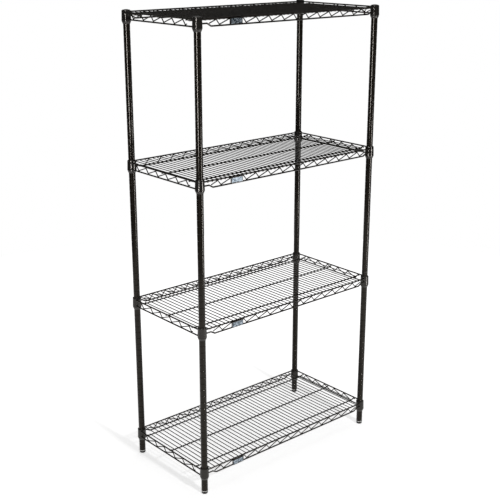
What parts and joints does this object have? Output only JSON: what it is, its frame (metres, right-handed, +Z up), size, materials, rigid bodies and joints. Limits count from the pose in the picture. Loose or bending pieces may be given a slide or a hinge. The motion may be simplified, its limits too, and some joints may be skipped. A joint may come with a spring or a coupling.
{
  "type": "wire shelving rack",
  "caption": "Free-standing wire shelving rack: round grooved posts, wire shelves locked on split tapered sleeves, and screw-in levelling feet.",
  "frame": {"origin": "middle of the rack's footprint, on the floor", "axes": "+X along the long side to the right, +Y to the back, +Z up; the label plates face -Y"},
  "size_m": [0.914, 0.4589, 1.8156],
  "materials": {
    "black_epoxy": "gloss black powder coat on steel wire and tube",
    "black_plastic": "satin moulded plastic",
    "zinc": "bright zinc plate",
    "label_face": "satin blue-grey label with no lettering"
  },
  "bodies": {
    "posts": {"post_fl": "black_epoxy", "post_fr": "black_epoxy", "post_bl": "black_epoxy", "post_br": "black_epoxy", "post_cap_fl": "black_plastic", "post_cap_fr": "black_plastic", "post_cap_bl": "black_plastic", "post_cap_br": "black_plastic", "foot_insert_fl": "zinc", "foot_insert_fr": "zinc", "foot_insert_bl": "zinc", "foot_insert_br": "zinc", "split_sleeves_1": "black_plastic", "split_sleeves_2": "black_plastic", "split_sleeves_3": "black_plastic", "split_sleeves_4": "black_plastic"},
    "shelf_1": {"collars_1": "black_epoxy", "deck_wires_1": "black_epoxy", "front_truss_1": "black_epoxy", "back_truss_1": "black_epoxy", "left_truss_1": "black_epoxy", "right_truss_1": "black_epoxy", "label_plate_1": "black_plastic", "label_face_1": "label_face"},
    "shelf_2": {"collars_2": "black_epoxy", "deck_wires_2": "black_epoxy", "front_truss_2": "black_epoxy", "back_truss_2": "black_epoxy", "left_truss_2": "black_epoxy", "right_truss_2": "black_epoxy", "label_plate_2": "black_plastic", "label_face_2": "label_face"},
    "shelf_3": {"collars_3": "black_epoxy", "deck_wires_3": "black_epoxy", "front_truss_3": "black_epoxy", "back_truss_3": "black_epoxy", "left_truss_3": "black_epoxy", "right_truss_3": "black_epoxy", "label_plate_3": "black_plastic", "label_face_3": "label_face"},
    "shelf_4": {"collars_4": "black_epoxy", "deck_wires_4": "black_epoxy", "front_truss_4": "black_epoxy", "back_truss_4": "black_epoxy", "left_truss_4": "black_epoxy", "right_truss_4": "black_epoxy", "label_plate_4": "black_plastic", "label_face_4": "label_face"},
    "glide_fl": {"foot_glide_fl": "black_plastic"},
    "stud_fl": {"foot_stud_fl": "zinc"},
    "glide_fr": {"foot_glide_fr": "black_plastic"},
    "stud_fr": {"foot_stud_fr": "zinc"},
    "glide_bl": {"foot_glide_bl": "black_plastic"},
    "stud_bl": {"foot_stud_bl": "zinc"},
    "glide_br": {"foot_glide_br": "black_plastic"},
    "stud_br": {"foot_stud_br": "zinc"}
  },
  "joints": [
    {"name": "shelf_1_lift", "type": "slide", "parent": "posts", "child": "shelf_1", "axis": [0, 0, 1], "range_m": [0, 0.5]},
    {"name": "shelf_2_lift", "type": "slide", "parent": "posts", "child": "shelf_2", "axis": [0, 0, 1], "range_m": [0, 0.5]},
    {"name": "shelf_3_lift", "type": "slide", "parent": "posts", "child": "shelf_3", "axis": [0, 0, 1], "range_m": [0, 0.5]},
    {"name": "shelf_4_lift", "type": "slide", "parent": "posts", "child": "shelf_4", "axis": [0, 0, 1], "range_m": [0, 0.06]},
    {"name": "glide_fl_drop", "type": "slide", "parent": "posts", "child": "glide_fl", "axis": [0, 0, -1], "range_m": [0, 0.0254]},
    {"name": "glide_fr_drop", "type": "slide", "parent": "posts", "child": "glide_fr", "axis": [0, 0, -1], "range_m": [0, 0.0254]},
    {"name": "glide_bl_drop", "type": "slide", "parent": "posts", "child": "glide_bl", "axis": [0, 0, -1], "range_m": [0, 0.0254]},
    {"name": "glide_br_drop", "type": "slide", "parent": "posts", "child": "glide_br", "axis": [0, 0, -1], "range_m": [0, 0.0254]},
    {"name": "stud_fl_turn", "type": "hinge", "parent": "glide_fl", "child": "stud_fl", "pos_m": [-0.439, -0.2103, 0.0075], "axis": [0, 0, -1], "range_deg": [0, 5760]},
    {"name": "stud_fr_turn", "type": "hinge", "parent": "glide_fr", "child": "stud_fr", "pos_m": [0.439, -0.2103, 0.0075], "axis": [0, 0, -1], "range_deg": [0, 5760]},
    {"name": "stud_bl_turn", "type": "hinge", "parent": "glide_bl", "child": "stud_bl", "pos_m": [-0.439, 0.2103, 0.0075], "axis": [0, 0, -1], "range_deg": [0, 5760]},
    {"name": "stud_br_turn", "type": "hinge", "parent": "glide_br", "child": "stud_br", "pos_m": [0.439, 0.2103, 0.0075], "axis": [0, 0, -1], "range_deg": [0, 5760]}
  ],
  "couplings": [
    {"joint": "stud_fl_turn", "follows": "glide_fl_drop", "rad_per_m": 3957.9},
    {"joint": "stud_fr_turn", "follows": "glide_fr_drop", "rad_per_m": 3957.9},
    {"joint": "stud_bl_turn", "follows": "glide_bl_drop", "rad_per_m": 3957.9},
    {"joint": "stud_br_turn", "follows": "glide_br_drop", "rad_per_m": 3957.9}
  ]
}
